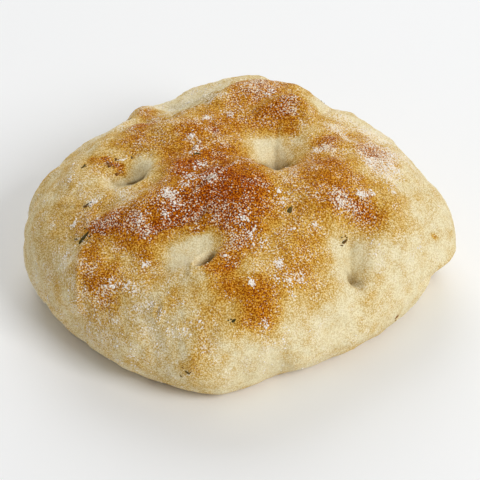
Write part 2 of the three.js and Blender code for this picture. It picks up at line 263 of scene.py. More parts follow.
def plain_surface(reach, angle):
    """Surface without relief. Up to DOME_SHARE of the reach it is the dome, from the top to the
    widest level, and past it a quarter ellipse that curls in to the underside's edge. The slope
    grows as a power of the reach that spaces the rings evenly near the top."""
    radius = outline_radius(angle)
    slope = np.clip(reach / DOME_SHARE, 0, 1) ** (SHOULDER_FULLNESS / 2) * np.pi / 2
    curl = np.clip((reach - DOME_SHARE) / (1 - DOME_SHARE), 0, 1) * np.pi / 2
    on_dome = reach <= DOME_SHARE
    dome_out = radius * np.sin(slope) ** (2 / SHOULDER_FULLNESS)
    dome_rise = np.clip(np.cos(slope), 0, 1) ** (2 / CROWN_FULLNESS)
    dome_up = WIDEST_LEVEL + (DOME_HEIGHT - WIDEST_LEVEL) * dome_rise
    out = np.where(on_dome, dome_out, radius - UNDERSIDE_INSET * (1 - np.cos(curl)))
    up = np.where(on_dome, dome_up, WIDEST_LEVEL * (1 - np.sin(curl)))
    return np.stack([out * np.cos(angle), out * np.sin(angle), up], -1)


def patch_sum(points, patches):
    """Sum over the patches of amount times exp(-d ** edge), where d is the distance from the
    patch's middle in units of its half length, half width and half height."""
    total = np.zeros(points.shape[:-1])
    for x, y, along, across, turn, amount, edge, *level in patches:
        half_height = max(LEAST_HALF_HEIGHT, HALF_HEIGHT_SHARE * max(along, across))
        dx, dy = points[..., 0] - x, points[..., 1] - y
        dz = points[..., 2] - (level[0] if level else dome_level(x, y))
        cosine, sine = np.cos(np.radians(turn)), np.sin(np.radians(turn))
        squared = ((dx * cosine + dy * sine) / along) ** 2 + ((dy * cosine - dx * sine) / across) ** 2
        squared += (dz / half_height) ** 2
        total += amount * np.exp(-(squared ** (edge / 2)))
    return total


def fold_sum(points, folds):
    """Sum over the folds of rise times exp(-(d / half width) ** 2), where d is the distance from
    the fold's path, taken as straight stretches from each of its points to the next."""
    total = np.zeros(points.shape[:-1])
    for rise, half_width, path in folds:
        corners = np.array([p if len(p) == 3 else (*p, dome_level(*p)) for p in path])
        nearest = np.full(points.shape[:-1], np.inf)
        for start, end in zip(corners[:-1], corners[1:]):
            share = np.clip((points - start) @ (end - start) / ((end - start) @ (end - start)), 0, 1)
            apart = points - start - share[..., None] * (end - start)
            nearest = np.minimum(nearest, (apart**2).sum(-1))
        total += rise * np.exp(-nearest / half_width**2)
    return total


# Multiples of this step, less their whole parts, fill the way from 0 to 1 evenly, in no order.
GOLDEN_STEP = 0.618
# Turn from each low wave's direction to the next one's, the step of their phases, and the shortest
# and longest of them as shares of the length asked for.
GOLDEN_ANGLE = 2.39996
PHASE_STEP = 1.7
WAVE_LENGTHS = (0.75, 1.35)


def between(limits, share):
    """The number that lies that share of the way from the first limit to the second."""
    return limits[0] + (limits[1] - limits[0]) * share


def low_waves(points, wave_length, count=16):
    """Sum of sines of the distances along directions that are spread evenly over a sphere, each
    with its own length and phase."""
    total = np.zeros(points.shape[:-1])
    for i in range(count):
        up = 1 - (2 * i + 1) / count
        flat = np.sqrt(1 - up * up)
        heading = GOLDEN_ANGLE * i
        sideways = points[..., 0] * np.cos(heading) + points[..., 1] * np.sin(heading)
        along = sideways * flat + points[..., 2] * up
        length = wave_length * between(WAVE_LENGTHS, GOLDEN_STEP * i % 1)
        total += np.sin(2 * np.pi * along / length + PHASE_STEP * i * i)
    return total / np.sqrt(count / 2)


def value_noise(points, size, seed, lattice=32):
    """Random values from -1 to 1 at the corners of a lattice of that cell size, blended smoothly."""
    table = np.random.default_rng(seed).uniform(-1, 1, (lattice, lattice, lattice))
    cell = points / size
    low = np.floor(cell).astype(int)
    part = cell - low
    part = part * part * (3 - 2 * part)
    total = np.zeros(points.shape[:-1])
    for corner in np.ndindex(2, 2, 2):
        weight = np.prod([part[..., k] if corner[k] else 1 - part[..., k] for k in range(3)], 0)
        at = (low + corner) % lattice
        total += weight * table[at[..., 0], at[..., 1], at[..., 2]]
    return total


def layered_noise(points, layers):
    """Sum of noises, each given by its amount, its cell size and its seed."""
    return sum(amount * value_noise(points, size, seed) for amount, size, seed in layers)


def square_to_disc(steps):
    """Reach and angle of the corners of a square grid whose rings of cells become round rings:
    reach is the larger of the two distances from the middle, and angle runs evenly along a side."""
    x, y = np.meshgrid(*[np.linspace(-1, 1, steps + 1)] * 2, indexing="ij")
    reach = np.maximum(abs(x), abs(y))
    sideways = abs(x) > abs(y)
    long, short = np.where(sideways, x, y), np.where(sideways, y, x)
    within = np.pi / 4 * short / np.where(long == 0, 1, long)
    angle = np.where(sideways, within, np.pi / 2 - within) + np.where(long < 0, np.pi, 0)
    return reach, angle


GRID_STEPS = 288
reach, angle = square_to_disc(GRID_STEPS)
plain = plain_surface(reach, angle)
outward = np.stack([plain[..., 0], plain[..., 1], np.zeros_like(reach)], -1) / SWELL_HALF_WIDTH**2
outward[..., 2] = (plain[..., 2] - WIDEST_LEVEL) / SWELL_HALF_HEIGHT**2
outward /= np.linalg.norm(outward, axis=-1, keepdims=True)

# Where the crust caught the most heat, for its colour and its skin.
BROWNED = [
    (1, -3, 32, 33, 0, 0.38, 5),
    (-8, -14, 23, 10, 24, 0.15, 4),
    (-12.5, -6.5, 3, 2.4, 20, 0.14, 4),
    (-25.5, -22.5, 5, 2.4, 15, 0.14, 4),
    (-11, -1, 14, 5, 0, 0.18, 2.5),
    (-33, -1, 5, 3, 0, 0.26, 2.5),
    (-33, -20, 5, 4, 0, 0.22, 2.5),
    (22, -3, 5, 4, 0, 0.22, 2.5),
    (35, 4, 5, 6, 0, 0.26, 2.5),
    (13.5, 14, 4, 2.5, 0, 0.12, 2.5),
    (-2.5, -34, 6, 4, 60, 0.26, 3),
    (1.5, -25.5, 6, 6, 0, 0.25, 2.5),
    (-13, -24, 12, 3.5, 10, 0.17, 2.5),
    (-4, -34.5, 3, 2.5, 0, 0.2, 2.5),
    (26, -15, 9, 5, -10, 0.11, 2.5),
    (13.5, -35.5, 5, 3.5, 0, 0.16, 2.5),
    (6, 30, 12, 9, 0, 0.26, 3),
    (-11, 11, 4, 3, 0, 0.12, 2.5),
    (2, 13, 6, 4, 0, 0.12, 2.5),
    (-22.5, -28.5, 5, 3.5, 0, 0.06, 2.5),
    (32.5, -30.5, 4, 5, 0, 0.07, 2.5),
    (-36, -35, 3.5, 3, 0, 0.20, 2.5),
    (-16, -44, 3, 3.5, 0, 0.12, 2.5),
    (-2, -48, 3, 3, 0, 0.1, 2),
    (-36, -17, 8, 5, -60, 0.18, 2.5),
    (-28.5, -24, 7, 5, -10, 0.40, 3),
    (-33.2, -32.6, 8.6, 3.6, -70, 0.40, 3.5),
    (-24, 29, 5, 4, 0, 0.24, 2.5),
    (-23.4, 25.4, 3.6, 3, 0, 0.24, 3),
    (-25, -33.5, 8, 6, 0, 0.23, 2.5),
    (-16, -21.8, 10.5, 6, 12, 0.28, 3),
    (-23, -28, 4.5, 3, 0, 0.18, 2.5),
    (-13, -6.5, 6, 4.5, 15, 0.30, 3),
    (-5, 1, 6, 5, 0, 0.23, 2.5),
    (-1.5, -16.5, 9, 9, 0, 0.42, 3.5),
    (1.5, -29.5, 4, 5, 0, 0.22, 2.5),
    (-5.2, -11, 3.6, 2.6, 40, 0.46, 3),
    (13.5, 10.6, 3, 2, 0, 0.24, 3),
    (-7.8, -25.8, 2.2, 1.4, 0, 0.22, 3),
    (24, 3.4, 4.5, 1.8, 0, 0.14, 3),
    (35.5, 5, 3, 4, 0, 0.10, 3),
    (13.8, 5.6, 2.4, 3.4, 0, 0.26, 3),
    (-2.6, -39.6, 4.2, 5, 0, 0.48, 3),
    (5.6, -43.2, 6.8, 5.4, 0, 0.58, 3.5),
    (-7, -46, 6, 7, 0, 0.14, 2),
    (-14, -43, 6, 4, 0, 0.08, 2),
    (-8.5, -51, 3.4, 3, 0, 0.22, 2, 17),
    (38, 2, 5, 7, 0, 0.08, 2.5),
    (-20, 2, 5, 4, 0, 0.16, 2.5),
    (8, -36, 6, 6, 0, 0.12, 2),
    (16, -30, 7, 6, 0, 0.24, 3),
    (18, -36.5, 8, 4.5, 12, 0.2, 2.5),
    (23, -11.5, 6.5, 8, 0, 0.20, 3),
    (32, -17.5, 8, 4.5, 0, 0.36, 3),
    (31, -9.5, 6, 4, 0, 0.20, 2.5),
    (39, -11.5, 6, 3, 35, 0.16, 2.5),
    (-34.5, 3.4, 3, 2, 0, 0.20, 2.5),
    (-27, 6, 5, 3, 0, 0.08, 2.5),
    (-30.9, 0.8, 1.6, 1.1, -40, 0.62, 3),
    (-32, 3.2, 1.5, 1.1, 0, 0.46, 3),
    (-30.2, -0.8, 1.1, 1.0, 0, 0.44, 3),
    (-35.6, 3.6, 1.4, 1.1, 0, 0.26, 3),
    (-5.5, 9.8, 2.2, 1.8, 0, 0.24, 3),
    (-5.4, 10, 0.8, 1.1, 0, 0.7, 3),
    (-11.3, 8.5, 3, 2.4, 0, 0.12, 3),
    (12.5, 17.4, 6, 1.8, 10, 0.16, 3),
    (23, 7.5, 4.5, 3, 10, 0.40, 3),
    (32, -16.8, 4.5, 2.6, 0, 0.24, 3),
    (-27, 10, 5, 3, 10, 0.24, 2.5),
    (-16, 7.5, 8, 5, 0, 0.16, 2.5),
    (-24, 16.5, 6, 4, 10, 0.52, 2.5),
    (-21, 27, 5, 4, 0, 0.25, 2.5),
    (-4, 13, 9, 4, 5, 0.14, 2.5),
    (-2, 19, 6, 4, 5, 0.10, 2.5),
    (6, 26, 13, 6, 0, 0.16, 3),
    (11, 15.4, 6, 3.2, 10, 0.20, 2.5),
    (22, 5, 4, 4, 0, 0.12, 2.5),
    (34, 10, 7, 8, -20, 0.20, 2.5),
    (-43, -10, 9, 14, 20, 0.14, 2),
    (-42, 8, 10, 11, 0, 0.12, 2),
    (-46, -22, 7, 10, 20, 0.09, 2, 16),
    (-24, -44, 14, 7, -30, 0.10, 2, 20),
    (-36, -37, 12, 8, -45, 0.05, 2, 17),
    (-30.5, -21.5, 3.4, 3, 0, 0.28, 3),
    (-35.5, -29, 3, 4, 0, 0.14, 3),
    (-20, -34, 4.5, 4, 0, 0.12, 3),
    (30, -22, 5, 3, 0, 0.04, 3),
    (9, -20, 5, 4, 0, 0.10, 3),
    (35, 6, 5, 9, 0, 0.14, 3),
    (31.4, -26.5, 2.6, 5, 0, 0.06, 3),
    (29, -30, 2, 1.6, 0, 0.08, 3),
    (48.6, -14.6, 0.6, 0.6, 0, 0.5, 2, 21.4),
]
# Dough that stayed pale, in the pokes and low on the sides.
PALE = [
    (-26.6, -3, 7.6, 5.4, 20, 0.42, 4),
    (-23, 2, 4, 3, 20, 0.10, 3),
    (-21.5, 1, 4, 4, 0, 0.10, 3),
    (-10.5, -31, 6.5, 4.6, -10, 0.38, 3),
    (-5.4, -30, 4, 3.2, 0, 0.24, 3),
    (-5.2, -26.4, 2.6, 1.8, 0, 0.18, 3),
    (-5.4, -22, 2.6, 2, 0, 0.12, 3),
    (-8.5, -29, 3.6, 3, 0, 0.16, 3),
    (-13, -25.2, 3.4, 1.6, 10, 0.24, 3),
    (-8, -23.4, 2.2, 1.4, 0, 0.16, 3),
    (10.5, 7.2, 4.2, 3.2, 0, 0.25, 3),
    (-5.5, -40, 3, 3, 0, 0.2, 2.5),
    (-20, -7, 4, 3, 0, 0.26, 2.5),
    (28, -27.5, 5, 6.8, 0, 0.19, 3),
    (9, 5.3, 6.3, 5.5, 0, 0.54, 3),
    (12.5, 22.5, 6, 1.8, 10, 0.16, 2.5),
    (20.5, 25.5, 3.6, 4, 0, 0.30, 3),
    (18.5, 9, 4, 3, 0, 0.28, 2.5),
    (-11, 30, 10, 6.5, 15, 0.34, 3),
    (17, 5, 4.5, 3.5, 0, 0.24, 2.5),
    (8.5, -9, 4, 3, 0, 0.16, 2.5),
    (-3.5, 24, 4, 3.5, 0, 0.18, 2.5),
    (31.5, -22, 5, 3.5, 0, 0.14, 2.5),
    (44, -24, 8, 9, 0, 0.10, 2.5, 14),
    (49, -2, 7, 22, 0, 0.03, 3, 20),
    (36, 22, 6, 5, -40, 0.10, 2.5),
    (1, -10.5, 4, 3, 0, 0.12, 2.5),
    (-15.5, -27.5, 5, 3, 0, 0.12, 2.5),
    (10.5, -46.5, 8, 4, 0, 0.16, 2, 10),
    (-15, -50, 8, 4, 0, 0.02, 2, 13),
    (25, -39, 7, 5, 20, 0.12, 2, 17),
]
# The edges of the patches are bent by noise, so that they end as raggedly as a real crust's. Folds
# waver less.
RAGGED_BEND = 1.6
WAVERING_SHARE = 0.35
bend_layers = [[(1, 7, seed), (0.5, 2.6, seed + 3)] for seed in (1, 2, 3)]
bend = np.stack([layered_noise(plain, layers) for layers in bend_layers], -1)
ragged = plain + RAGGED_BEND * bend
wavering = plain + WAVERING_SHARE * (ragged - plain)

EVEN_BROWNING = 0.158
PATCH_BROWNING = 0.9
LEAST_BROWNING = 0.06
BROWNING_LAYERS = [(0.04, 11, 7), (0.06, 4.6, 8), (0.07, 2.4, 9)]
browning = EVEN_BROWNING + PATCH_BROWNING * (patch_sum(ragged, BROWNED) - patch_sum(ragged, PALE))
browning += layered_noise(plain, BROWNING_LAYERS) + fold_sum(wavering, [(0.3, 0.7, CREST_FOOT)])
browning = np.clip(browning, LEAST_BROWNING, 1)

# Painted shade in the bottoms of the pokes and slits, where the crust lies in shade, each with its
# share, half width and path.
PAINTED_CREASE_SHADES = [
    (0.9, 0.7, [(-8.4, -35), (-7, -33.8), (-5.6, -32.2)]),
    (0.8, 1.2, [(7.5, 1.6), (10.4, 3.4), (13, 2)]),
    (0.3, 0.6, [(10.4, 8), (10.4, 3.4)]),
    (0.25, 0.7, [(-31.3, -2.8), (-29.3, -3.4), (-26, -3.2)]),
    (0.85, 0.7, [(-26.8, -3.3), (-25.6, -3.3), (-24.2, -3.4), (-23, -3.9)]),
    (0.12, 3, [(-30.5, -3), (-25, -3)]),
    (0.4, 1.2, [(28.8, -28.6), (29.4, -29.8), (30.6, -30.6)]),
    (0.4, 1.3, [(-16, 22), (-12, 21.8), (-8.5, 22.5), (-5.5, 25.5), (-3, 28)]),
    (0.3, 2.4, [(-16, 33.5), (-13, 32), (-9.5, 28)]),
    (0.3, 0.9, [(-11.4, 25.6), (-9, 25.3), (-7.6, 26.3), (-6.2, 28), (-5.2, 29.4)]),
    (0.16, 2.4, [(31.4, -22), (31.6, -27), (31, -31.5)]),
]
painted_crease_shade = np.clip(fold_sum(plain, PAINTED_CREASE_SHADES), 0, 1)

# Relief of the skin: low waves, each with its amount and length, then blisters and wrinkles that
# are rougher where it browned. Its rise and fall fade out down towards the flat underside.
LOW_WAVES = [(0.45, 19), (0.12, 8)]
ROUGHNESS_LIMITS = (1.05, 1.4)
FADE_FROM = 2
FADE_OVER = 8
BLISTER_LAYERS = [(0.20, 5.3, 10), (0.19, 2.9, 11), (0.14, 1.7, 12), (0.08, 1.0, 13)]
lift = sum(amount * low_waves(plain, wave_length) for amount, wave_length in LOW_WAVES)
lift += patch_sum(plain, CRESTS) + patch_sum(plain, SHOULDERS)
lift += patch_sum(wavering, SMALL_SWELLS) + fold_sum(wavering, FOLDS)
lift += between(ROUGHNESS_LIMITS, browning) * layered_noise(plain, BLISTER_LAYERS)
fade = np.clip((plain[..., 2] - FADE_FROM) / FADE_OVER, 0, 1)
skin = plain.copy()
skin[..., :2] += outward[..., :2] * lift[..., None]
skin[..., 2] += (outward[..., 2] * lift - patch_sum(plain, POKES)) * fade

# The grid's cells as triangles, each split along the line that runs out from the middle.
row = GRID_STEPS + 1
i, j = np.meshgrid(np.arange(GRID_STEPS), np.arange(GRID_STEPS), indexing="ij")
near = (i * row + j).ravel()
far = near + row
same_side = ((2 * i + 1 - GRID_STEPS) * (2 * j + 1 - GRID_STEPS) > 0).ravel()[:, None]
first = np.where(same_side, np.stack([near, far, far + 1], -1), np.stack([near, far, near + 1], -1))
second = np.where(same_side, np.stack([near, far + 1, near + 1], -1), np.stack([far, far + 1, near + 1], -1))

# The underside: rings of the rim's corners, each smaller than the last, closed by a fan.
UNDER_RINGS = 12
k = np.arange(GRID_STEPS)
rim = np.concatenate([k * row, GRID_STEPS * row + k, (GRID_STEPS - k) * row + GRID_STEPS, GRID_STEPS - k])
rim_points = skin.reshape(-1, 3)[rim]
shares = np.linspace(1, 0, UNDER_RINGS + 1)[1:-1]
under = (rim_points[None] * shares[:, None, None]).reshape(-1, 3)
rings = np.concatenate([rim[None], row * row + np.arange(len(under)).reshape(len(shares), -1)])
outer, inner = rings[:-1], rings[1:]
outer_next, inner_next = np.roll(outer, -1, 1), np.roll(inner, -1, 1)
middle = np.full(rings.shape[1], row * row + len(under))
triangles = np.concatenate([
    first,
    second,
    np.stack([outer, inner, inner_next], -1).reshape(-1, 3),
    np.stack([outer, inner_next, outer_next], -1).reshape(-1, 3),
    np.stack([rings[-1], middle, np.roll(rings[-1], -1)], -1),
])
crust_points = np.concatenate([skin.reshape(-1, 3), under, [[0, 0, 0]]])
centring = (crust_points.min(0) + crust_points.max(0)) / 2 * (1, 1, 0)
crust_points = crust_points - centring

# Where flour fell and stayed, thickest at the back right, and below nothing where it came off.
FLOURED = [
    (-20, 2, 42, 56, -10, 0.08, 8),
    (-9, -15, 18, 8, 24, -0.22, 3),
    (-8, -20.5, 5.5, 2.2, 10, 0.18, 3),
    (-21, -22.5, 5, 2.6, 10, 0.18, 3),
    (0, -42, 10, 7, 0, -0.25, 3),
    (-33, -31, 6, 4, 60, -0.16, 3),
    (-26.5, -2, 6, 5, 0, -0.40, 4),
    (-11, -30, 6, 5, 0, -0.20, 3),
    (28.5, -28, 5, 6, 0, -0.20, 3),
    (10, 4, 6, 5, 0, -0.25, 3),
    (-34, -40, 24, 10, -30, 0.06, 3, 14),
    (-38, -32, 14, 20, 40, 0.05, 3, 15),
    (0, -26, 8, 3, -30, 0.06, 2),
    (13, -36, 8, 3, 0, 0.22, 2),
    (25, -16, 8, 4, -10, 0.35, 2),
    (38, 1, 5, 7, -10, 0.60, 3),
    (31, 6, 6, 3, 20, 0.12, 2),
    (35.5, 6, 3, 4, 0, -0.30, 3),
    (-5.2, -11.5, 3, 2.4, 0, -0.3, 3),
    (34, 15, 12, 7, -40, 0.40, 2),
    (-4, -10, 8, 3, 40, 0.16, 2),
    (13, 18, 7, 2.5, 15, 0.36, 2),
    (-9.4, -1.2, 2.4, 1.8, 0, -0.5, 3),
    (-5, 22.5, 3, 1.6, 20, 0.45, 3),
    (-2, -12.5, 2.6, 2, 0, 0.24, 3),
    (-13, -20.5, 3, 2, 0, 0.14, 3),
    (-5, -22, 2.6, 2, 0, 0.14, 3),
    (24, 2.5, 5, 1.4, -20, 0.55, 2),
    (27, 11.5, 7, 1.4, -30, 0.50, 2),
    (31, 1, 5, 5, 0, 0.24, 2),
    (35, 20, 9, 5, -40, 0.30, 2),
    (6, 28, 12, 5, 5, 0.20, 2),
    (-12, 34, 14, 7, 15, 0.40, 2),
    (-20, 12, 12, 8, -10, 0.10, 2),
    (-44, -26, 10, 14, 20, 0.08, 2),
    (-22, -44, 10, 5, -15, 0.14, 2),
]
FLOURED_FOLDS = [
    (0.7, 0.4, CREST_LIP),
    (0.5, 0.5, CREST_GROOVE),
    (0.4, 0.7, CREST_FOOT),
    (0.7, 0.5, [(14.6, 16.2), (16.3, 14.6), (17.8, 12.6)]),
]
FLOUR_LAYERS = [(0.16, 6, 21), (0.34, 2.4, 22)]
FLOUR_LIMITS = (-0.3, 1)
flour_film = layered_noise(plain, FLOUR_LAYERS) + patch_sum(ragged, FLOURED)
flour_film = np.clip(flour_film + fold_sum(wavering, FLOURED_FOLDS), *FLOUR_LIMITS)


def surface_piece(name, points, faces, values):
    """A smooth shaded mesh from arrays of points in millimetres and of triangles, with one number
    for each point under each name in values."""
    mesh = bpy.data.meshes.new(name)
    mesh.vertices.add(len(points))
    mesh.vertices.foreach_set("co", (points * MM).astype(np.float32).ravel())
    mesh.loops.add(faces.size)
    mesh.loops.foreach_set("vertex_index", faces.astype(np.int32).ravel())
    mesh.polygons.add(len(faces))
    mesh.polygons.foreach_set("loop_start", np.arange(0, faces.size, 3, dtype=np.int32))
    mesh.polygons.foreach_set("use_smooth", np.ones(len(faces), bool))
    for label, numbers in values.items():
        carried = mesh.attributes.new(label, "FLOAT", "POINT")
        carried.data.foreach_set("value", numbers.astype(np.float32).ravel())
    mesh.update(calc_edges=True)
    mesh.validate()
    piece = bpy.data.objects.new(name, mesh)
    scene.collection.objects.link(piece)
    return piece


def on_crust(numbers, below):
    """Numbers for every point of the crust: those of the grid, then one value for the underside."""
    return np.concatenate([numbers.ravel(), np.full(len(under) + 1, below)])


# The underside is evenly baked, and the side takes its tone over the last few millimetres.
UNDER_BROWNING = 0.34
UNDER_FLOUR = 0.15
UNDER_EDGE = 3
above_edge = np.clip(plain[..., 2] / UNDER_EDGE, 0, 1)
browning = browning * above_edge + UNDER_BROWNING * (1 - above_edge)
# The crust's points carry its browning, its flour film and the share of painted shade in its creases.
crust = surface_piece("crust", crust_points, triangles, {
    "browning": on_crust(browning, UNDER_BROWNING),
    "flour_film": on_crust(flour_film, UNDER_FLOUR),
    "painted_crease_shade": on_crust(painted_crease_shade, 0),
})


def add_node(tree, kind, settings, **sockets):
    """A node with its settings, and each named socket either linked or set. A double underscore
    before a number in a socket's name picks the socket by its place, as in in__1."""
    made = tree.nodes.new(kind)
    for label, value in settings.items():
        setattr(made, label, value)
    for label, value in sockets.items():
        place = int(label.split("__")[1]) if "__" in label else label.replace("_", " ").title()
        if isinstance(value, bpy.types.NodeSocket):
            tree.links.new(value, made.inputs[place])
        else:
            made.inputs[place].default_value = value
    return made


def object_place(tree):
    """Place of a point in the object, in metres."""
    return add_node(tree, "ShaderNodeTexCoord", {}).outputs["Object"]


def carried_number(tree, label):
    """The number that the mesh carries at each point under that name."""
    return add_node(tree, "ShaderNodeAttribute", {"attribute_name": label}).outputs["Fac"]


def combine(tree, operation, a, b):
    """The result of a Math node on two values."""
    return add_node(tree, "ShaderNodeMath", {"operation": operation}, in__0=a, in__1=b).outputs[0]


def scaled(tree, value, times, plus=0):
    """A value times a factor, plus an amount."""
    settings = {"operation": "MULTIPLY_ADD"}
    return add_node(tree, "ShaderNodeMath", settings, in__0=value, in__1=times, in__2=plus).outputs[0]


# Width of the noise's blotches at a scale of one.
BLOTCH_WIDTH = 0.6


def speckle(tree, place, size_mm, detail, roughness=0.55):
    """Noise whose blotches are about that many millimetres across, from 0 to 1."""
    noise_scale = BLOTCH_WIDTH / (size_mm * MM)
    sockets = {"vector": place, "scale": noise_scale, "detail": detail, "roughness": roughness}
    return add_node(tree, "ShaderNodeTexNoise", {}, **sockets).outputs[0]


def steps_of(tree, value, low, high):
    """0 below low, 1 above high and a smooth rise between."""
    settings = {"interpolation_type": "SMOOTHSTEP"}
    return add_node(tree, "ShaderNodeMapRange", settings, value=value, in__1=low, in__2=high).outputs[0]


def linear(red, green, blue):
    """Linear light of a colour given as it shows on a screen, each part from 0 to 255."""
    shown = np.array([red, green, blue]) / 255
    return np.where(shown <= 0.04045, shown / 12.92, ((shown + 0.055) / 1.055) ** 2.4)


def ramp(tree, value, stops):
    """A colour ramp through screen colours, each with its position from 0 to 1."""
    made = add_node(tree, "ShaderNodeValToRGB", {}, in__0=value)
    while len(made.color_ramp.elements) < len(stops):
        made.color_ramp.elements.new(1)
    for element, (position, colour) in zip(made.color_ramp.elements, stops):
        element.position = position
        element.color = (*linear(*colour), 1)
    return made.outputs[0]


def covered(tree, share, under_colour, over_colour):
    """A colour that is covered to that share by another one, given as it shows on a screen."""
    over = (*linear(*over_colour), 1)
    settings = {"data_type": "RGBA"}
    return add_node(tree, "ShaderNodeMix", settings, in__0=share, in__6=under_colour, in__7=over).outputs[2]


def dimmed(tree, colour, share):
    """A colour times a number."""
    settings = {"operation": "SCALE"}
    return add_node(tree, "ShaderNodeVectorMath", settings, in__0=colour, in__3=share).outputs[0]


# Baked crust: matt, cream in the hollows, through straw and gold to a deep brown on the crests,
# finely speckled all over, with a thin film of flour, and painted shade in its fine pits and in the
# bottoms of its pokes and slits.
CRUST_COLOURS = [
    (0.00, (238, 227, 190)),
    (0.10, (230, 214, 170)),
    (0.325, (210, 170, 84)),
    (0.55, (191, 131, 30)),
    (0.775, (169, 92, 2)),
    (1.00, (138, 56, 4)),
]
# Colour of the painted shade in the bottoms of the pokes and slits.
CREASE_SHADE_COLOUR = (110, 88, 48)
FLOUR_COLOUR = (250, 238, 214)
crust_material, crust_shader = new_material("baked_crust")
tree = crust_material.node_tree
place = object_place(tree)
baked = carried_number(tree, "browning")
# The grain is a sharp fine noise that swings the colour more where the crust is browner.
fine = speckle(tree, place, size_mm=0.22, detail=1.5, roughness=0.6)
coarse = speckle(tree, place, size_mm=1.8, detail=3)
grained = scaled(tree, steps_of(tree, fine, low=0.38, high=0.62), times=1, plus=-0.5)
swing = scaled(tree, baked, times=0.34, plus=0.11)
drift = scaled(tree, coarse, times=0.35, plus=-0.175)
heat = combine(tree, "ADD", combine(tree, "ADD", baked, combine(tree, "MULTIPLY", grained, swing)), drift)
crust_colour = ramp(tree, heat, CRUST_COLOURS)
# Painted shade: the crust is covered towards a dark olive brown in the bottoms of the pokes and slits.
crust_colour = covered(tree, carried_number(tree, "painted_crease_shade"), crust_colour, CREASE_SHADE_COLOUR)
# Painted shade in the skin's fine pits: the same grain darkens the colour, more where the crust browned, as
# its pits are deeper there.
depth = scaled(tree, baked, times=0.8, plus=0.06)
pit_shade = scaled(tree, combine(tree, "MULTIPLY", grained, depth), times=-1, plus=1)
crust_colour = dimmed(tree, crust_colour, pit_shade)
# Flour sits in small sharp flecks, more of them where more fell.
fallen = scaled(tree, carried_number(tree, "flour_film"), times=0.24)
flecks = combine(tree, "ADD", speckle(tree, place, size_mm=0.24, detail=1.5, roughness=0.6), fallen)
dusted = scaled(tree, steps_of(tree, flecks, low=0.59, high=0.69), times=0.85)
crust_colour = covered(tree, dusted, crust_colour, FLOUR_COLOUR)
tree.links.new(crust_colour, crust_shader.inputs["Base Color"])
crust_shader.inputs["Roughness"].default_value = 0.9
crust_shader.inputs["Specular IOR Level"].default_value = 0.08
grain_height = combine(tree, "ADD", fine, scaled(tree, coarse, times=1.2))
bump = add_node(tree, "ShaderNodeBump", {}, strength=0.6, distance=0.0005, height=grain_height)
tree.links.new(bump.outputs[0], crust_shader.inputs["Normal"])
crust.data.materials.append(crust_material)
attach(crust, "root")
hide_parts("focaccia_roll")


# Rosemary. Chopped dried needles lie in the crust where they were before baking, each with a few
# crumbs of leaf beside it.

# Angle and reach of each needle's place in the crust's grid, its heading in degrees, its length,
# its width, and how toasted it is from 0 to 1.
ROSEMARY = [
    (212.4, 0.512, 31, 6, 1.9, 0.2),
    (200, 0.438, 20, 3, 1.2, 0.5),
    (178, 0.424, 60, 1.8, 1, 0.3),
    (178, 0.35, 120, 2.8, 1.6, 0.75),
    (182, 0.319, 20, 2.4, 1.4, 0.85),
    (174, 0.335, 80, 2, 1.2, 0.6),
    (172.5, 0.29, 95, 2.4, 0.7, 0.5),
    (187, 0.098, 10, 2.6, 1.3, 0.45),
    (319.1, 0.458, 70, 2.8, 1.4, 0.5),
    (303.5, 0.299, 70, 3.0, 2.0, 0.35),
    (269.5, 0.611, 45, 1.8, 1.2, 0.2),
    (257.4, 0.792, 80, 2.6, 1, 0.5),
    (326.4, 0.847, 60, 2, 1, 0.9),
]
# On the side that the picture doesn't show, the needles are spread by rule between these limits.
# Their lengths go by a step of their own, so that they don't follow the angles.
SILVER_STEP = 0.414
FAR_BITS = 7
FAR_ANGLES = (25, 155)
FAR_REACHES = (0.38, 0.8)
FAR_TURN = 75
FAR_LENGTHS = (2.1, 3.6)
FAR_WIDTH = 1.1
FAR_TOAST = 0.4
for bit in range(FAR_BITS):
    far_angle = between(FAR_ANGLES, GOLDEN_STEP * (bit + 1) % 1)
    far_reach = between(FAR_REACHES, (bit + 0.5) / FAR_BITS)
    far_length = between(FAR_LENGTHS, SILVER_STEP * bit % 1)
    ROSEMARY.append((far_angle, far_reach, FAR_TURN * bit, far_length, FAR_WIDTH, FAR_TOAST))


def strewn(shapes, faces, spots, heading, stray):
    """Shapes that lie on the crust, as one set of points and triangles. Each is laid at a corner of
    the crust's grid, square to the skin and turned to its heading, then moved along and across."""
    up = normals[spots]
    along = np.stack([np.cos(heading), np.sin(heading), np.zeros(len(heading))], -1)
    along -= up * (along * up).sum(-1, keepdims=True)
    along /= np.linalg.norm(along, axis=-1, keepdims=True)
    moved = shapes + np.pad(stray, ((0, 0), (0, 1)))[:, None]
    points = crust_corners[spots][:, None] + moved @ np.stack([along, np.cross(up, along), up], 1)
    offsets = np.arange(len(spots))[:, None, None] * shapes.shape[1]
    return points.reshape(-1, 3), (faces + offsets).reshape(-1, 3)


facing = np.cross(np.gradient(skin, axis=0), np.gradient(skin, axis=1))
cell_area = np.linalg.norm(facing, axis=-1)
normals = (facing / cell_area[..., None]).reshape(-1, 3)
crust_corners = skin.reshape(-1, 3) - centring
bit_angle, bit_reach, bit_turn, bit_length, bit_width, bit_toast = np.array(ROSEMARY).T
off_angle = (angle.ravel()[:, None] - np.radians(bit_angle) + np.pi) % (2 * np.pi) - np.pi
off_reach = reach.ravel()[:, None] - bit_reach
bit_spots = np.argmin(off_reach**2 + (off_angle * bit_reach) ** 2, 0)

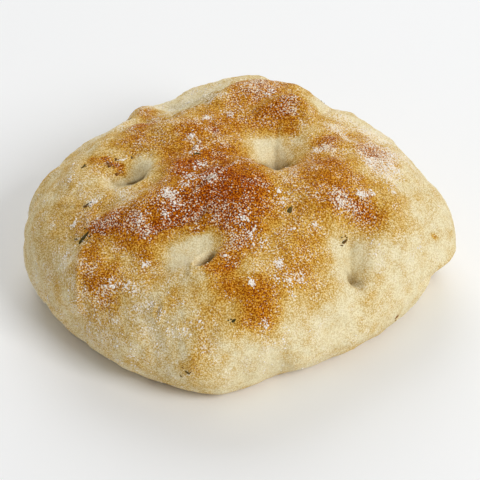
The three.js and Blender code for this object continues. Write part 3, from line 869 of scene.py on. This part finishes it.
# A needle is a leaf blade, here one unit long and wide: a flattened tube with a rounded end, a
# tapered one and a groove down its middle.
NEEDLE_ALONG, NEEDLE_ROUND = 14, 10
ROUNDED_SHARE = 0.2
TAPER_LATENESS, TAPER_BLUNTNESS = 2.5, 0.8
GROOVE_DEPTH, GROOVE_NARROWNESS = 0.45, 8
round_needle = np.arange(NEEDLE_ROUND) / NEEDLE_ROUND * 2 * np.pi
run, turn = np.meshgrid(np.linspace(0, 1, NEEDLE_ALONG), round_needle, indexing="ij")
rounded = np.sqrt(1 - (1 - np.minimum(run / ROUNDED_SHARE, 1)) ** 2)
half_width = 0.5 * rounded * (1 - run**TAPER_LATENESS) ** TAPER_BLUNTNESS
grooved = 1 - GROOVE_DEPTH * np.cos(turn) ** GROOVE_NARROWNESS
blade = np.stack([run - 0.5, half_width * np.cos(turn), half_width * np.sin(turn) * grooved], -1)
blade = blade.reshape(-1, 3)
ring, side = np.meshgrid(np.arange(NEEDLE_ALONG - 1), np.arange(NEEDLE_ROUND), indexing="ij")
corner = (ring * NEEDLE_ROUND + side).ravel()
beside = (ring * NEEDLE_ROUND + (side + 1) % NEEDLE_ROUND).ravel()
blade_faces = np.concatenate([
    np.stack([corner, corner + NEEDLE_ROUND, beside], -1),
    np.stack([beside, corner + NEEDLE_ROUND, beside + NEEDLE_ROUND], -1),
])

# The needles are slimmer than the coarse solid's bits, and they droop at both ends.
NEEDLE_LENGTH_SHARE = 0.75
NEEDLE_WIDTH_SHARE = 0.6
THICKEST = 0.6
DROOP = 0.25
CRUMBS_PER_BIT = 7
CRUMB_LENGTHS = (0.3, 0.9)
CRUMB_WIDTHS = (0.2, 0.45)
CRUMB_TOAST = (-0.2, 0.3)
# How far crumbs stray, as a share of their needle's length.
CRUMB_STRAY = 0.28
rng = np.random.default_rng(5)
crumb_of = np.repeat(np.arange(len(ROSEMARY)), CRUMBS_PER_BIT)
crumbs = len(crumb_of)
heading = np.concatenate([np.radians(bit_turn), rng.uniform(0, 2 * np.pi, crumbs)])
length = np.concatenate([bit_length * NEEDLE_LENGTH_SHARE, rng.uniform(*CRUMB_LENGTHS, crumbs)])
width = np.concatenate([bit_width * NEEDLE_WIDTH_SHARE, rng.uniform(*CRUMB_WIDTHS, crumbs)])
crumb_stray = rng.normal(0, CRUMB_STRAY, (crumbs, 2)) * bit_length[crumb_of, None]
stray = np.concatenate([np.zeros((len(ROSEMARY), 2)), crumb_stray])
toasts = np.concatenate([bit_toast, bit_toast[crumb_of] + rng.uniform(*CRUMB_TOAST, crumbs)])
needles = blade * np.stack([length, width, np.minimum(width, THICKEST)], -1)[:, None]
needles[..., 2] -= DROOP * (2 * blade[:, 0]) ** 2
spots = np.concatenate([bit_spots, bit_spots[crumb_of]])
needle_points, needle_faces = strewn(needles, blade_faces, spots, heading, stray)
toasted = np.repeat(toasts, len(blade))
rosemary = surface_piece("rosemary", needle_points, needle_faces, {"toasted": toasted})

# Dried leaf: dull dark olive, mottled, and browner the more it is toasted.
LEAF_COLOURS = [(0, (54, 48, 24)), (0.4, (88, 78, 40)), (0.75, (114, 70, 30)), (1, (146, 104, 56))]
leaf_material, leaf_shader = new_material("dried_rosemary")
tree = leaf_material.node_tree
mottle = scaled(tree, speckle(tree, object_place(tree), size_mm=0.6, detail=2), times=1.4, plus=-0.7)
leaf_tone = combine(tree, "ADD", carried_number(tree, "toasted"), mottle)
tree.links.new(ramp(tree, leaf_tone, LEAF_COLOURS), leaf_shader.inputs["Base Color"])
leaf_shader.inputs["Roughness"].default_value = 0.8
leaf_shader.inputs["Specular IOR Level"].default_value = 0.1
rosemary.data.materials.append(leaf_material)
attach(rosemary, "root")


# Flour. White grains of it cling to the crust, singly where it was dusted and in small clumps
# where it fell in lumps.

# The x and y of each clump, its size, and how many pairs of grains are in it.
CLUMPS = [
    (-35.2, -13.4, 1.1, 30), (-39.9, -17.4, 0.6, 18), (-15.8, -17.7, 1.5, 64), (-16.7, -22.6, 0.9, 18),
    (-22.2, -33, 0.9, 16), (-29.8, -35.2, 0.8, 16), (-26.3, -37, 0.7, 12), (-24.3, -38.3, 0.9, 12),
    (-18.4, -44.4, 1.0, 16), (-20.8, -42.5, 0.8, 10), (-15.6, -47.9, 0.8, 12), (-12.6, -48.3, 0.9, 12),
    (-8.3, -48.3, 0.6, 7), (10.6, -34.3, 0.9, 46), (3.7, -40, 0.6, 36), (12.7, -37.5, 1.2, 18),
    (16.1, -36.3, 1.2, 16), (9.8, -37.8, 1.0, 14), (6.9, -45.9, 0.8, 12), (13.1, -39.9, 0.9, 10),
    (-7.1, 14.1, 1.0, 28), (-10.9, 6.1, 1.0, 20), (-9.8, 1.2, 0.9, 14), (-28.6, 2.7, 0.7, 9),
    (-41.2, -2.1, 0.6, 8), (-8.1, -6, 1.6, 22), (-10.5, -11.4, 1.8, 30), (-6.1, -13.9, 1.6, 30),
    (-11.9, -15.3, 1.6, 24), (-13.7, -20.6, 2.4, 22), (-22.6, -23.2, 2.6, 24), (-20.5, -25.6, 1.6, 10),
    (1.6, -24.7, 1.6, 18), (3.5, -27.5, 1.6, 16), (6.6, -29.1, 1.8, 22), (9.3, 24.9, 0.6, 8),
    (8, 23.6, 1.0, 10), (-1.3, 16.4, 1.4, 16), (20.4, 2.5, 1.0, 12), (30.1, -13.5, 0.8, 34),
    (32.9, -12.6, 0.6, 10), (24.3, -16.4, 1.6, 20), (25.9, -17.3, 1.8, 18), (39, 7.2, 2.0, 36),
    (39.5, -0.5, 2.0, 40), (37.3, -2.8, 2.0, 32), (33.5, -0.3, 1.6, 24), (38, -10.2, 1.0, 14),
    (44.9, -17.5, 0.8, 8), (11.6, -45.2, 0.9, 8), (10.4, -15.6, 1.1, 12), (11.1, -18.5, 0.9, 10),
    (-41.2, -24.7, 1.1, 16), (-36.9, -35.9, 1.2, 18), (-50.8, -18, 0.9, 10), (-47.4, -24.3, 0.9, 10),
    (-28.2, -42.7, 1.0, 12), (-24.8, -45.2, 1.1, 14), (-40, -32.4, 0.9, 12), (19.4, -23.2, 0.6, 8),
    (13.8, -25.4, 0.6, 6), (33.1, -22.2, 1.0, 8),
]
CLUMP_HALF_WIDTH = 0.6
CLUMP_EDGE = 1.2
SINGLE_GRAINS = 2600
DUST_CONTRAST = 2.2
LOWEST_GRAIN = 4
# The middle size of the grains and how widely their sizes spread.
SINGLE_SIZE, SINGLE_SPREAD = 0.11, 0.35
CLUMP_SIZE, CLUMP_SPREAD = 0.155, 0.28


def picked(weights, count):
    """That many random corners of the crust's grid, the likelier the greater their weights."""
    weights = weights.ravel()
    return rng.choice(weights.size, count, p=weights / weights.sum())


dust = cell_area * np.clip(flour_film, 0, 1) ** DUST_CONTRAST * (plain[..., 2] > LOWEST_GRAIN)
picks = [picked(dust, SINGLE_GRAINS)]
for x, y, size, pairs in CLUMPS:
    half_width = CLUMP_HALF_WIDTH * size
    nearness = patch_sum(plain, [(x, y, half_width, half_width, 0, 1, CLUMP_EDGE)])
    picks.append(picked(nearness * cell_area, 2 * pairs))
grain_spots = np.concatenate(picks)
count = len(grain_spots)
single_sizes = rng.lognormal(np.log(SINGLE_SIZE), SINGLE_SPREAD, SINGLE_GRAINS)
clump_sizes = rng.lognormal(np.log(CLUMP_SIZE), CLUMP_SPREAD, count - SINGLE_GRAINS)
grain_size = np.concatenate([single_sizes, clump_sizes])[:, None]

# A grain is an icosahedron pulled out of shape: its twelve corners, and the triples of them that
# lie side by side.
GOLDEN_RATIO = (1 + 5**0.5) / 2
LONGEST_SIDE = 1.1
corners = np.array([(0, s, t * GOLDEN_RATIO) for s in (-1, 1) for t in (-1, 1)])
ball = np.concatenate([corners, corners[:, [1, 2, 0]], corners[:, [2, 0, 1]]])
ball /= np.linalg.norm(ball[0])
triples = np.array(list(combinations(range(len(ball)), 3)))
sides = np.linalg.norm(ball[triples] - np.roll(ball[triples], 1, 1), axis=-1)
ball_faces = triples[(sides < LONGEST_SIDE).all(-1)]
faces_out = np.linalg.det(ball[ball_faces]) > 0
ball_faces = np.where(faces_out[:, None], ball_faces, ball_faces[:, ::-1])

# Its corners are drawn in or out, it is stretched and flattened, and it stands out of the skin.
CORNER_REACHES = (0.7, 1.3)
STRETCHES = (0.8, 1.9)
FLATNESS = 0.6
STANDING_OUT = 0.2
JITTER = 0.34
lumps = ball * rng.uniform(*CORNER_REACHES, (count, len(ball), 1)) * grain_size[..., None]
lumps[..., 0] *= rng.uniform(*STRETCHES, (count, 1))
lumps[..., 2] = lumps[..., 2] * FLATNESS + STANDING_OUT * grain_size
heading = rng.uniform(0, 2 * np.pi, count)
jitter = rng.uniform(-JITTER, JITTER, (count, 2))
flour_points, flour_faces = strewn(lumps, ball_faces, grain_spots, heading, jitter)
brightness = np.repeat(rng.uniform(0, 1, count), len(ball))
flour = surface_piece("flour", flour_points, flour_faces, {"brightness": brightness})

# Flour is matt and off white, some grains warmer than others.
GRAIN_COLOURS = [(0, (240, 228, 214)), (1, (255, 252, 246))]
flour_material, flour_shader = new_material("flour_grains")
tree = flour_material.node_tree
grain_colour = ramp(tree, carried_number(tree, "brightness"), GRAIN_COLOURS)
tree.links.new(grain_colour, flour_shader.inputs["Base Color"])
flour_shader.inputs["Roughness"].default_value = 0.9
flour.data.materials.append(flour_material)
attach(flour, "root")
